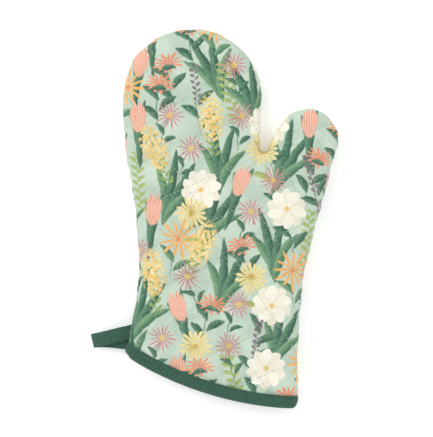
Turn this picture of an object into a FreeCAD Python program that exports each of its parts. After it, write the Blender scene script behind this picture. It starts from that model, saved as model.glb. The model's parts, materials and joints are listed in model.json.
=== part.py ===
"""Oven mitt: quilted cotton mitt with a bound cuff and a hang loop.

The mitt lies on its back face, fingers towards +Y, thumb towards +X, front face up (+Z).
The origin is under the middle of its outline, on the surface that it lies on. Millimetres.

Each half of the mitt is one quilted panel: a printed cotton shell, a wadding and a lining,
held by rows of quilting thread. The two panels meet at half height, where the side seam runs
round everything but the cuff. The cloth folds along two creases, one across the fingers and
one across the thumb, so each layer is cut there and the pieces turn about the front face.
"""

import FreeCAD
import Part

import math
import os

from FreeCAD import Vector

# ---- Driving dimensions ---------------------------------------------------------------------
THICKNESS = 30.0          # whole mitt, front face to back face
EDGE_STRIP = 2.0          # upright strip of each half beside the side seam; the rest of the edge is rolled
SHELL = 0.7               # printed cotton
WADDING = 5.0             # polyester wadding, as quilted
LINING = 0.7              # plain cotton
TAPE = 0.5                # binding tape, laid double
BINDING_WIDTH = 11.0      # how far the tape reaches up each side of the cuff
THREAD = 0.4              # width of a row of stitches
THREAD_DEPTH = 0.3        # how deep a row sits in its cloth
SEAM_CLEAR = 2.0          # the quilting rows stop this far from the side seam
SEAM_INSET = 1.4          # the side seam's row lies this far inside the edge
CREASE_GAP = 0.3          # between the pieces on each side of a crease

FINGER_RADIUS = 60.5      # round end of the finger pocket
FINGER_X = -20.4          # its centre
FINGER_Y = 104.5
FINGER_LEAN = 1.5         # degrees that the finger pocket narrows towards the crotch

THUMB_RADIUS = 26.8       # round end of the thumb pocket
THUMB_X = 80.4            # its centre
THUMB_Y = 68.5
THUMB_INNER_LEAN = 30.2   # degrees from +Y of the thumb's inner side
THUMB_OUTER_LEAN = 15.4   # degrees from +Y of its outer side
THUMB_OUTER_LENGTH = 75.5  # straight stretch of the outer side
CROTCH_RADIUS = 3.1       # between thumb and fingers

WAIST_X = -67.6           # narrowest point on the fingers' side
WAIST_Y = -37.5
CUFF_LEFT_X = -78.6       # ends and depth of the cuff's curved edge
CUFF_LEFT_Y = -119.0
CUFF_RIGHT_X = 70.8
CUFF_RIGHT_Y = -165.2
CUFF_SAG = 10.5
SIDE_ARC_HEIGHT = 93.5    # the outer side bends over this height
SIDE_END_LEAN = 1.2       # degrees from +Y where it meets the cuff

FINGER_CREASE_RISE = 8.0  # the finger crease runs this far above the crotch
THUMB_CREASE_LEAN = 40.0  # degrees below +X of the crease across the thumb

QUILT_STEEP = -56.5       # directions of the two families of quilting rows, degrees from +X
QUILT_FLAT = 24.0
QUILT_STEEP_PITCH = 39.0
QUILT_FLAT_PITCH = 35.2
QUILT_STEEP_START = -5.8  # distance of one row of each family from the origin
QUILT_FLAT_START = -0.9

STITCH_FROM_EDGE = 1.6    # row of stitches inside the binding's upper edge

LOOP_WIDTH = 12.0         # hang loop, the same tape folded double
LOOP_TAPE = 1.1
LOOP_EYE = 8.6            # clear height inside its fold
LOOP_LENGTH = 27.0        # from the line that it swings about to the middle of its fold
LOOP_FLOOR_CLEAR = 1.3    # it droops to this height above the surface that the mitt lies on
LOOP_ROOT_Y = -99.6       # middle of the tape at the mitt's side
LOOP_LEAN = 13.0          # degrees that the tape leans towards the cuff, away from -X
LOOP_PINCH = 3.0          # its two legs lie together over this length
LOOP_STAND_OFF = 1.8      # least distance from the mitt's side to the line that it swings about
LOOP_SWING_GAP = 1.2      # from that line to the tape on each side
LOOP_TUCK = 6.0           # how far its ends reach into the side seam
LOOP_STITCH_INSET = 1.6   # row of stitches inside the tape's edge

# ---- Sizes that follow from those -----------------------------------------------------------
HALF = THICKNESS / 2
EDGE_ROUND = HALF - EDGE_STRIP
WALL = SHELL + WADDING + LINING
UP = Vector(0, 0, 1)
LOOP_DROOP = math.degrees(math.asin((HALF - LOOP_FLOOR_CLEAR - LOOP_EYE / 2 - LOOP_TAPE) / LOOP_LENGTH))
FAR = 400.0               # longer than anything here
TOLERANCE = 1e-6


def lean(degrees):
    """Unit vector that points down, turned by that many degrees towards -X."""
    a = math.radians(degrees)
    return Vector(-math.sin(a), -math.cos(a), 0)


def across(v):
    """v turned a quarter turn to the left, in the XY plane."""
    return Vector(-v.y, v.x, 0)


def meet(p, u, q, v):
    """Where the line through p along u meets the line through q along v."""
    t = (q - p).cross(v).z / u.cross(v).z
    return p + u * t


def arc(a, middle, b):
    return Part.Arc(a, middle, b).toShape()


def line(a, b):
    return Part.makeLine(a, b)


def on_circle(centre, radius, direction):
    return centre + direction.normalize() * radius


# ---- Outline --------------------------------------------------------------------------------
FINGER_CENTRE = Vector(FINGER_X, FINGER_Y, 0)
THUMB_CENTRE = Vector(THUMB_X, THUMB_Y, 0)


def crotch_points():
    """Start, middle and end of the small arc between fingers and thumb, and its two lines' far ends."""
    finger_way = lean(FINGER_LEAN)
    thumb_way = lean(THUMB_INNER_LEAN)
    finger_end = FINGER_CENTRE + across(finger_way) * FINGER_RADIUS
    thumb_end = THUMB_CENTRE - across(thumb_way) * THUMB_RADIUS
    corner = meet(finger_end, finger_way, thumb_end, thumb_way)
    half_angle = math.radians(THUMB_INNER_LEAN - FINGER_LEAN) / 2
    along = CROTCH_RADIUS / math.tan(half_angle)
    middle_way = (finger_way + thumb_way).normalize() * -1
    centre = corner + middle_way * (CROTCH_RADIUS / math.sin(half_angle))
    bottom = centre - middle_way * CROTCH_RADIUS
    return finger_end, corner - finger_way * along, bottom, corner - thumb_way * along, thumb_end


def side_points():
    """The outer side: end of the thumb's round, end of the straight, middle and end of the bend."""
    way = lean(THUMB_OUTER_LEAN)
    start = THUMB_CENTRE + across(way) * THUMB_RADIUS
    bend = start + way * THUMB_OUTER_LENGTH
    first, last = math.radians(THUMB_OUTER_LEAN), math.radians(SIDE_END_LEAN)
    radius = SIDE_ARC_HEIGHT / (math.sin(first) - math.sin(last))
    centre = bend + across(way) * radius
    middle = centre - across(lean((THUMB_OUTER_LEAN + SIDE_END_LEAN) / 2)) * radius
    end = centre - across(lean(SIDE_END_LEAN)) * radius
    return start, bend, middle, end


def outline_edges():
    """The mitt's edge in order, as tangent arcs and lines, from below the cuff round to below it."""
    finger_left = FINGER_CENTRE - Vector(FINGER_RADIUS, 0, 0)
    waist = Vector(WAIST_X, WAIST_Y, 0)
    cuff = Vector(CUFF_LEFT_X, CUFF_LEFT_Y, 0)
    # The side from the fingers to the waist is two equal arcs that meet halfway.
    halfway = (finger_left + waist) / 2
    shift = waist - finger_left
    radius = shift.dot(shift) / (4 * shift.x)
    upper_centre = finger_left + Vector(radius, 0, 0)
    lower_centre = waist - Vector(radius, 0, 0)
    upper_middle = on_circle(upper_centre, radius, (finger_left + halfway) / 2 - upper_centre)
    lower_middle = on_circle(lower_centre, radius, (waist + halfway) / 2 - lower_centre)
    # From the waist to the cuff it flares on one arc, and runs on straight below the cuff.
    flare = cuff - waist
    flare_radius = flare.dot(flare) / (-2 * flare.x)
    flare_centre = waist - Vector(flare_radius, 0, 0)
    flare_middle = on_circle(flare_centre, flare_radius, (waist + cuff) / 2 - flare_centre)
    flare_way = across(cuff - flare_centre).normalize() * -1
    left_end = meet(cuff, flare_way, Vector(0, 2 * CUFF_RIGHT_Y, 0), Vector(1, 0, 0))

    finger_end, crotch_a, crotch_bottom, crotch_b, thumb_end = crotch_points()
    outer, bend, bend_middle, side_end = side_points()
    finger_top = FINGER_CENTRE + Vector(0, FINGER_RADIUS, 0)
    thumb_top = on_circle(THUMB_CENTRE, THUMB_RADIUS, (outer + thumb_end) / 2 - THUMB_CENTRE)
    right_end = meet(side_end, lean(SIDE_END_LEAN), left_end, Vector(1, 0, 0))
    return [
        line(left_end, cuff),
        arc(cuff, flare_middle, waist),
        arc(waist, lower_middle, halfway),
        arc(halfway, upper_middle, finger_left),
        arc(finger_left, finger_top, finger_end),
        line(finger_end, crotch_a),
        arc(crotch_a, crotch_bottom, crotch_b),
        line(crotch_b, thumb_end),
        arc(thumb_end, thumb_top, outer),
        line(outer, bend),
        arc(bend, bend_middle, side_end),
        line(side_end, right_end),
        line(right_end, left_end),
    ]


OUTLINE = Part.Wire(outline_edges())


def pillow(inset):
    """The mitt's full form with a rolled edge, drawn in by inset all round. It runs on past the cuff."""
    face = Part.Face(OUTLINE)
    if inset:
        face = face.makeOffset2D(-inset)
    solid = face.extrude(UP * (THICKNESS - 2 * inset))
    solid.translate(UP * inset)
    ends = [inset, THICKNESS - inset]
    low = solid.BoundBox.YMin
    rims = []
    for edge in solid.Edges:
        box = edge.BoundBox
        flat = box.ZMax - box.ZMin < TOLERANCE
        at_end = any(abs(box.ZMin - z) < TOLERANCE for z in ends)
        closing = box.YMax < low + TOLERANCE
        if flat and at_end and not closing:
            rims.append(edge)
    return solid.makeFillet(EDGE_ROUND - inset, rims)


# ---- Cutting tools --------------------------------------------------------------------------
def cuff_disc(inset):
    """A tall disc whose lower edge is the cuff's curve, drawn in by inset."""
    left = Vector(CUFF_LEFT_X, CUFF_LEFT_Y, 0)
    right = Vector(CUFF_RIGHT_X, CUFF_RIGHT_Y, 0)
    chord = right - left
    radius = chord.Length ** 2 / (8 * CUFF_SAG) + CUFF_SAG / 2
    inward = across(chord).normalize()
    centre = (left + right) / 2 + inward * (radius - CUFF_SAG)
    return Part.makeCylinder(radius - inset, 3 * THICKNESS, centre - UP * THICKNESS)


def block(corner, along, side):
    """A tall block that starts at corner and runs along and to its left."""
    points = [corner, corner + along, corner + along + side, corner + side, corner]
    face = Part.Face(Part.makePolygon(points))
    solid = face.extrude(UP * (3 * THICKNESS))
    solid.translate(UP * -THICKNESS)
    return solid


def finger_crease():
    """A point on the crease across the fingers, and its direction."""
    crotch = crotch_points()[2]
    return Vector(crotch.x, crotch.y + FINGER_CREASE_RISE, THICKNESS), Vector(1, 0, 0)


def thumb_crease():
    """A point on the crease across the thumb, at the crotch, and its direction, away from the fingers."""
    a = math.radians(-THUMB_CREASE_LEAN)
    return crotch_points()[2] + UP * THICKNESS, Vector(math.cos(a), math.sin(a), 0)


def finger_block(gap):
    """The space of the finger pocket, drawn back from the crease by gap."""
    point, way = finger_crease()
    corner = Vector(point.x, point.y + gap, 0)
    return block(corner, Vector(0, FAR, 0), Vector(-FAR, 0, 0))


def thumb_block(gap):
    """The space of the thumb pocket, drawn back from the crease by gap."""
    point, way = thumb_crease()
    up = across(way)
    base = Vector(point.x, point.y, 0) + up * gap
    right_of_crotch = block(Vector(point.x, -FAR, 0), Vector(FAR, 0, 0), Vector(0, 2 * FAR, 0))
    return block(base - way * FAR, way * (2 * FAR), up * FAR).common(right_of_crotch)


def regions():
    """For each moving body, the space that its cloth takes. The hand has what the others leave."""
    half_gap = CREASE_GAP / 2
    hand = cuff_disc(TAPE).cut(finger_block(-half_gap)).cut(thumb_block(-half_gap))
    return {"hand": hand, "fingers": finger_block(half_gap), "thumb": thumb_block(half_gap)}


def slab(low, high):
    return Part.makeBox(2 * FAR, 2 * FAR, high - low, Vector(-FAR, -FAR, low))


FRONT_HALF = slab(HALF, THICKNESS + 1)
BACK_HALF = slab(-1, HALF)


def rows(angle, pitch, start):
    """Thin upright walls along one family of quilting rows."""
    a = math.radians(angle)
    way = Vector(math.cos(a), math.sin(a), 0)
    side = across(way)
    reach = math.ceil(OUTLINE.BoundBox.DiagonalLength / pitch)
    walls = []
    for k in range(-reach, reach + 1):
        middle = side * (start + k * pitch)
        corner = middle - way * FAR - side * (THREAD / 2)
        walls.append(block(corner, way * (2 * FAR), side * THREAD))
    return Part.makeCompound(walls)


# ---- The cloth ------------------------------------------------------------------------------
def panels():
    """Each layer, front and back in one. The cuff's last stretch is drawn in to sit in the tape."""
    form = {inset: pillow(inset) for inset in (0, THREAD_DEPTH, SHELL, SHELL + WADDING, WALL)}
    hem = {inset: pillow(inset) for inset in (TAPE, TAPE + SHELL)}
    bound = cuff_disc(0).cut(cuff_disc(BINDING_WIDTH))
    free = cuff_disc(BINDING_WIDTH)

    skin = form[0].cut(form[SHELL]).common(free)
    shell = skin.fuse(hem[TAPE].cut(hem[TAPE + SHELL]).common(bound))
    filling = form[SHELL].common(free).fuse(hem[TAPE + SHELL].common(bound))
    wadding = filling.cut(form[SHELL + WADDING])
    lining = form[SHELL + WADDING].cut(form[WALL])

    groove = form[0].cut(form[THREAD_DEPTH]).common(cuff_disc(BINDING_WIDTH + THREAD))
    groove = groove.cut(slab(HALF - SEAM_CLEAR, HALF + SEAM_CLEAR))
    steep = groove.common(rows(QUILT_STEEP, QUILT_STEEP_PITCH, QUILT_STEEP_START))
    flat = groove.common(rows(QUILT_FLAT, QUILT_FLAT_PITCH, QUILT_FLAT_START))
    thread = steep.fuse(flat)
    shell = shell.cut(thread)
    return {"shell": shell, "wadding": wadding, "lining": lining, "quilting_thread": thread}


def side_seam():
    """The row of stitches that joins the two panels, just inside the edge at half height."""
    outer = Part.Face(OUTLINE).makeOffset2D(-SEAM_INSET)
    inner = Part.Face(OUTLINE).makeOffset2D(-SEAM_INSET - THREAD)
    seam = outer.cut(inner).extrude(UP * THREAD)
    seam.translate(UP * (HALF - THREAD / 2))
    return seam.common(cuff_disc(BINDING_WIDTH + THREAD))


def fused(solids):
    """Solids that touch or cross, as one."""
    return solids[0].multiFuse(solids[1:])


def binding():
    """The tape folded over the cuff's raw edge: outside band, fold and inside band, all round the mouth."""
    outside = pillow(0).cut(pillow(TAPE))
    inside = pillow(WALL).cut(pillow(WALL + TAPE))
    bound = cuff_disc(TAPE).cut(cuff_disc(BINDING_WIDTH))
    fold = pillow(0).cut(pillow(WALL + TAPE)).common(cuff_disc(0).cut(cuff_disc(TAPE)))
    tape = fused([outside.common(bound), inside.common(bound), fold])
    near = BINDING_WIDTH - STITCH_FROM_EDGE
    row = cuff_disc(near - THREAD).cut(cuff_disc(near))
    stitch = pillow(0).cut(pillow(THREAD_DEPTH)).common(row)
    return tape.cut(stitch), stitch


# ---- The hang loop --------------------------------------------------------------------------
def side_at(y):
    """The point of the mitt's edge on the loop's side at that height."""
    level = line(Vector(-FAR, y, 0), Vector(FINGER_X, y, 0))
    return min((v.Point for v in OUTLINE.section(level).Vertexes), key=lambda p: p.x)


def loop_axis():
    """The middle of the line that the loop swings about, beside the mitt's edge, and its direction."""
    way = lean(180 - LOOP_LEAN)
    half = way * (LOOP_WIDTH / 2)
    middle = side_at(LOOP_ROOT_Y)
    reach = max((middle + end - side_at((middle + end).y)).dot(across(way) * -1) for end in (half, half * -1))
    return middle + across(way) * (LOOP_STAND_OFF + reach) + UP * HALF, way


def loop_profile(half_eye, start, rise):
    """The area inside one side of the folded tape, seen along the axis: two lines and the fold's arc."""
    point, way = loop_axis()
    out = across(way)

    def at(reach, height):
        return point - way * (LOOP_WIDTH / 2) + out * reach + UP * height

    top, low = at(LOOP_LENGTH, half_eye), at(LOOP_LENGTH, -half_eye)
    edges = [arc(low, at(LOOP_LENGTH + half_eye, 0), top), line(top, at(start, rise))]
    if rise:
        edges.append(line(at(start, rise), at(start, -rise)))
    edges.append(line(at(start, -rise), low))
    return Part.Face(Part.Wire(edges))


def hang_loop():
    """The folded tape, drooping from the mitt's side, and the row of stitches that closes it."""
    point, way = loop_axis()
    outer = loop_profile(LOOP_EYE / 2 + LOOP_TAPE, LOOP_SWING_GAP, LOOP_TAPE)
    eye = loop_profile(LOOP_EYE / 2, LOOP_SWING_GAP + LOOP_PINCH, 0)
    tape = outer.cut(eye).extrude(way * LOOP_WIDTH)
    sunk = loop_profile(LOOP_EYE / 2 + LOOP_TAPE - THREAD_DEPTH, LOOP_SWING_GAP, LOOP_TAPE - THREAD_DEPTH)
    row = outer.cut(sunk).extrude(way * THREAD)
    row.translate(way * (LOOP_WIDTH - LOOP_STITCH_INSET - THREAD))
    tape = tape.cut(row)
    for piece in (tape, row):
        piece.rotate(point, way, -LOOP_DROOP)
    return tape, row


def loop_ends():
    """The tape's two ends, one on the other, from beside the loop into the side seam."""
    point, way = loop_axis()
    out = across(way)
    width = way * LOOP_WIDTH
    corner = point - width / 2 - out * LOOP_SWING_GAP
    far_corner = side_at((corner + width).y)
    tuck = (corner + width - far_corner).dot(out) + LOOP_TUCK
    inner = corner - out * tuck
    face = Part.Face(Part.makePolygon([corner, corner + width, inner + width, inner, corner]))
    ends = face.extrude(UP * (2 * LOOP_TAPE))
    ends.translate(UP * -LOOP_TAPE)
    return ends


# ---- Nodes ----------------------------------------------------------------------------------
def build():
    layers = panels()
    seam = side_seam()
    ends = loop_ends()
    layers["wadding"] = layers["wadding"].cut(seam)
    nodes = {}
    for body, space in regions().items():
        tail = "" if body == "hand" else "_" + body
        for layer, shape in layers.items():
            piece = shape.common(space)
            if body == "hand":
                piece = piece.cut(ends)
            nodes["front_" + layer + tail] = piece.common(FRONT_HALF)
            nodes["back_" + layer + tail] = piece.common(BACK_HALF)
        nodes["side_seam_thread" + tail] = seam.common(space)
    nodes["cuff_binding"], nodes["binding_stitches"] = binding()
    nodes["hang_loop"], nodes["loop_stitches"] = hang_loop()
    nodes["hang_loop_ends"] = ends.cut(seam)
    return nodes


def main():
    nodes = build()
    whole = Part.makeCompound(list(nodes.values())).optimalBoundingBox(False)
    origin = Vector((whole.XMin + whole.XMax) / 2, (whole.YMin + whole.YMax) / 2, whole.ZMin)
    os.makedirs("parts", exist_ok=True)
    for name, shape in nodes.items():
        piece = Part.makeCompound(shape.Solids)
        piece.translate(origin * -1)
        piece.exportStep(f"parts/{name}.step")
        print(f"{name}: {len(shape.Solids)} solids, {shape.Volume:.1f} mm3, valid {shape.isValid()}")
    creases = {"finger": finger_crease(), "thumb": thumb_crease(), "loop": loop_axis()}
    for name, (point, way) in creases.items():
        p = point - origin
        print(f"{name} axis through ({p.x:.4f}, {p.y:.4f}, {p.z:.4f}) along ({way.x:.5f}, {way.y:.5f}, 0)")
    print(f"origin at ({origin.x:.3f}, {origin.y:.3f}, {origin.z:.3f}) of the outline's own frame")


main()
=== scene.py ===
# %% [markdown]
# # An oven mitt, cut, quilted, bound and printed
#
# A quilted oven mitt is two padded panels, front and back. Each panel is printed cotton outside,
# wadding in the middle and plain cotton inside, held together by rows of stitches. The panels are
# sewn together all round except at the cuff, where a green tape binds the raw edge. A loop of the
# same tape hangs it up.
#
# The design frame gives every size and place. This lesson reads the outline, the rows and the joints
# from it, and makes the cloth around them.

import json
import math
import random

import bpy
import numpy as np
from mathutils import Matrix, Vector, noise
from mathutils.bvhtree import BVHTree
from mathutils.geometry import delaunay_2d_cdt


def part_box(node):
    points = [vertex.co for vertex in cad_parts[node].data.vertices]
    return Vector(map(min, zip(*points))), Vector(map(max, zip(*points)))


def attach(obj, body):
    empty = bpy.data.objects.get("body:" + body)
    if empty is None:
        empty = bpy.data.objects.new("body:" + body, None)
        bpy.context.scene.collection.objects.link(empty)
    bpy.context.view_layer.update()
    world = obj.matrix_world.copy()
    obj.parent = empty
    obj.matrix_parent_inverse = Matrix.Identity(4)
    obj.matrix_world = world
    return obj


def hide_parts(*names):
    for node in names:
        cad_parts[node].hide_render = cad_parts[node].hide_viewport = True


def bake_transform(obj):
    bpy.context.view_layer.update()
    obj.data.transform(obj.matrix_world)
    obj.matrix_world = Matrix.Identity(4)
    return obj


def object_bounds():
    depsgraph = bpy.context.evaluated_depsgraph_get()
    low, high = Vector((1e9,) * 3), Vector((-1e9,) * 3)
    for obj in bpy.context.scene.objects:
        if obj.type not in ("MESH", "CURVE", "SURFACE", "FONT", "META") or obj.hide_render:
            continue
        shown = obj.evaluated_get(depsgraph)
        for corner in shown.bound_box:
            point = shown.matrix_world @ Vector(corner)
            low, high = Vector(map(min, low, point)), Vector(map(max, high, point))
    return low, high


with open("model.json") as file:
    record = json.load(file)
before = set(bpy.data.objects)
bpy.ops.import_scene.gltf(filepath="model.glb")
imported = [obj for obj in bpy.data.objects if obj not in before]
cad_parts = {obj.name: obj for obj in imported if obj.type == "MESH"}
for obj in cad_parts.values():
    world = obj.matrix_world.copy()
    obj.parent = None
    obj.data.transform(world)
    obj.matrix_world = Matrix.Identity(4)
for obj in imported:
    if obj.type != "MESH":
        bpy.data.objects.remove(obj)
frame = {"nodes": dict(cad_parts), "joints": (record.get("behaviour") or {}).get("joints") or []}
cad_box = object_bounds()
joints = {joint["name"]: joint for joint in frame["joints"]}
MM = 0.001
print("joints:", sorted(joints))

# %% [markdown]
# ## Small tools
#
# Lengths are worked out in millimetres, because cloth and thread are bought in millimetres, and
# only the finished mesh is turned to metres. Colours are written as the hex values of a paint
# chart. The renderer wants light, not paint values, so one function turns them to linear.

# %% Colours, nodes and meshes
def linear(paint):
    """A hex paint value as linear red, green, blue and a full alpha."""
    parts = [int(paint[i:i + 2], 16) / 255 for i in (0, 2, 4)]
    return [p / 12.92 if p <= 0.04045 else ((p + 0.055) / 1.055) ** 2.4 for p in parts] + [1.0]


def add(tree, kind, *inputs, settings=None, **named):
    """A node with its settings and links. An input is a socket to link, a value, or None to leave it."""
    node = tree.nodes.new(kind)
    for key, value in (settings or {}).items():
        setattr(node, key, value)
    pairs = list(enumerate(inputs)) + [(key.replace("_", " "), value) for key, value in named.items()]
    for key, value in pairs:
        if isinstance(value, bpy.types.NodeSocket):
            tree.links.new(value, node.inputs[key])
        elif value is not None:
            node.inputs[key].default_value = value
    return node


def make_piece(name, points, faces, smooth=True):
    """A mesh object from points in millimetres."""
    mesh = bpy.data.meshes.new(name)
    mesh.from_pydata((np.asarray(points, float) * MM).tolist(), [], [list(map(int, f)) for f in faces])
    mesh.polygons.foreach_set("use_smooth", [smooth] * len(mesh.polygons))
    mesh.update()
    piece = bpy.data.objects.new(name, mesh)
    bpy.context.scene.collection.objects.link(piece)
    return piece


def run_of(line):
    """How far along the line each of its points lies."""
    return np.concatenate([[0], np.cumsum(np.linalg.norm(np.diff(line, axis=0), axis=1))])


def mark_cloth(piece, places):
    """Store each point's place on the flat cloth, in millimetres, for the finishes."""
    stored = piece.data.attributes.new("cloth_mm", "FLOAT_VECTOR", "POINT")
    stored.data.foreach_set("vector", places.ravel())


def smoothstep(low, high, value):
    t = np.clip((value - low) / (high - low), 0, 1)
    return t * t * (3 - 2 * t)


# %% [markdown]
# ## Reading the outline
#
# The frame holds solids, and a seamstress needs the line to cut along. The line is walked: from a
# point on the edge, a small circle is swept from the outside towards the cloth, and the place where
# it meets the cloth is the next point. It works for round ends and for the tight notch at the thumb.

# %% Walk round the edge
low, high = (np.array(corner) / MM for corner in cad_box)
HALF = (low[2] + high[2]) / 2
TOP = high[2]
STEP = 2.0
FIRST_SWING, SWING_STEP = 120, 6
CREASE_GUARD = 0.35


def solid_tree(names):
    """One search tree, in millimetres, over several nodes of the frame."""
    points, faces = [], []
    for name in names:
        mesh = frame["nodes"][name].data
        start = len(points)
        points += [tuple(v.co / MM) for v in mesh.vertices]
        faces += [[start + i for i in p.vertices] for p in mesh.polygons]
    return BVHTree.FromPolygons(points, faces)


OUTSIDE_NODES = [n for n in frame["nodes"] if "_shell" in n] + ["cuff_binding"]
outside = solid_tree(OUTSIDE_NODES)


def under(x, y):
    return outside.ray_cast(Vector((x, y, 2 * TOP)), Vector((0, 0, -1)))[0] is not None


def covered(point):
    """Whether the mitt lies there. The thin gap at a crease counts as cloth."""
    x, y = point
    g = CREASE_GUARD
    return under(x, y) or (under(x + g, y + g) and under(x - g, y - g))


def between(inside_point, outside_point):
    """The edge between a point on the cloth and one off it."""
    for _ in range(12):
        middle = (inside_point + outside_point) / 2
        if covered(middle):
            inside_point = middle
        else:
            outside_point = middle
    return (inside_point + outside_point) / 2


def swing(centre, angle):
    return centre + STEP * np.array([math.cos(angle), math.sin(angle)])


def walk():
    """The whole outline, clockwise, as points one step apart."""
    start = between(np.array([0.0, 0.0]), np.array([low[0], 0.0]))
    points, heading = [start], math.pi / 2
    while len(points) < 20 or np.linalg.norm(points[-1] - start) > STEP:
        off = heading + math.radians(FIRST_SWING)
        on = off
        while not covered(swing(points[-1], on)):
            off, on = on, on - math.radians(SWING_STEP)
        for _ in range(8):
            middle = (off + on) / 2
            if covered(swing(points[-1], middle)):
                on = middle
            else:
                off = middle
        heading = on
        points.append(swing(points[-1], on))
    return np.array(points)


def inward_normals(points, closed=False):
    """Unit vectors to the right of the walk, which is where the cloth lies."""
    ahead, behind = np.roll(points, -2, 0), np.roll(points, 2, 0)
    if not closed:
        ahead[-2:], behind[:2] = points[-1], points[0]
    way = ahead - behind
    way /= np.linalg.norm(way, axis=1, keepdims=True)
    return np.stack([way[:, 1], -way[:, 0]], 1)


outline = walk()
normals = inward_normals(outline, closed=True)


MOUTH_DEPTH = 14.0


def opens(point, normal):
    """Whether a probe pushed in at half height meets no wall: then this is the mouth."""
    start = point - 3 * normal
    hit = outside.ray_cast(Vector((*start, HALF + 1)), Vector((*normal, 0)))
    return hit[0] is None or hit[3] > MOUTH_DEPTH


mouth = np.array([opens(p, n) for p, n in zip(outline, normals)])


def longest_run(flags):
    """First and last place of the longest unbroken stretch round the outline."""
    best, first = 0, 0
    for start in np.flatnonzero(flags & ~np.roll(flags, 1)):
        length = int(np.argmin(np.roll(flags, -start)))
        if length > best:
            best, first = length, int(start)
    return first, first + best - 1


def corner_near(index):
    """The sharpest turn of the outline close to that point."""
    best, place = 1.0, index
    for i in range(index - 8, index + 9):
        a, b, c = (outline[k % len(outline)] for k in (i - 3, i, i + 3))
        bend = (b - a) @ (c - b) / np.linalg.norm(b - a) / np.linalg.norm(c - b)
        if bend < best:
            best, place = bend, i
    return place


right_corner, left_corner = (corner_near(place) for place in longest_run(mouth))
outline = np.roll(outline, -right_corner, 0)
count = (left_corner - right_corner) % len(outline) + 1
cuff = outline[:count][::-1]
edge = np.vstack([outline[count - 1:], outline[:1]])
print(f"edge {len(edge)} points, cuff {len(cuff)} points, from {cuff[0].round(1)} to {cuff[-1].round(1)}")


# %% Distances on the cloth
def distance_to(line, points):
    """How far each point lies from a line of short straight runs."""
    a, b = line[:-1], line[1:]
    run = b - a
    square = (run ** 2).sum(1)
    best = np.full(len(points), np.inf)
    for k in range(0, len(points), 2000):
        p = points[k:k + 2000, None, :]
        t = np.clip(((p - a) * run).sum(2) / square, 0, 1)
        gap = np.linalg.norm(p - a - t[..., None] * run, axis=2)
        best[k:k + 2000] = gap.min(1)
    return best


def run_on(line, length):
    """The line with both ends drawn out straight."""
    first, last = line[0] - line[4], line[-1] - line[-5]
    first, last = (v / np.linalg.norm(v) * length for v in (first, last))
    return np.vstack([line[0] + first, line, line[-1] + last])


EDGE_RUN_ON = 40
long_edge = run_on(edge, EDGE_RUN_ON)


def from_cuff(points):
    return distance_to(cuff, points)


# %% [markdown]
# ## Reading the quilting rows
#
# The frame has the quilting thread as thin ribs. Their long straight sides give the two directions
# that the machine sewed in, and how far each row lies from the middle.

# %% Measure the rows
SHORTEST_RUN = 6.0
ROW_GAP = 5.0
SPARE_ROWS = 3


def quilting_rows():
    """Two families of rows, each as its direction and the distances of its rows from the middle."""
    runs = []
    for name in ("front_quilting_thread", "front_quilting_thread_fingers", "front_quilting_thread_thumb"):
        mesh = frame["nodes"][name].data
        for e in mesh.edges:
            a, b = (np.array(mesh.vertices[i].co) / MM for i in e.vertices)
            if min(a[2], b[2]) > TOP - 0.01 and np.linalg.norm(b - a) > SHORTEST_RUN:
                runs.append((a[:2], b[:2]))
    angles = np.array([math.degrees(math.atan2(*(b - a)[::-1])) for a, b in runs])
    angles = (angles + 90) % 180 - 90
    families = []
    for chosen in (angles < 0, angles >= 0):
        angle = math.radians(np.median(angles[chosen]))
        side = np.array([-math.sin(angle), math.cos(angle)])
        places = sorted((a + b) @ side / 2 for (a, b), keep in zip(runs, chosen) if keep)
        rows = [[places[0]]]
        for place in places[1:]:
            if place - rows[-1][-1] > ROW_GAP:
                rows.append([])
            rows[-1].append(place)
        middles = np.array([np.mean(row) for row in rows])
        pitch = np.median(np.diff(middles))
        whole = middles[0] + pitch * np.arange(-SPARE_ROWS, len(middles) + SPARE_ROWS)
        families.append((angle, whole))
        print(f"rows at {math.degrees(angle):.1f} degrees, {pitch:.1f} mm apart")
    return families


ROWS = quilting_rows()


def from_rows(plan):
    """Distance of each point from the nearest row of each family."""
    gaps = []
    for angle, places in ROWS:
        side = np.array([-math.sin(angle), math.cos(angle)])
        gaps.append(np.abs((plan @ side)[:, None] - places).min(1))
    return gaps


# %% [markdown]
# ## The quilted cover
#
# The cover could be one box pushed about by hand, but the edge of a sewn and turned mitt has a shape
# of its own: it rolls out from the side seam and flattens over the wadding. So the edge is made as
# rings of quads that follow that roll, and the flat middle is filled with small triangles.

# %% Rings and middle
def trimmed(v):
    """The edge without its last stretch beside the cuff."""
    keep = from_cuff(edge) > v
    return edge[keep]


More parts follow.
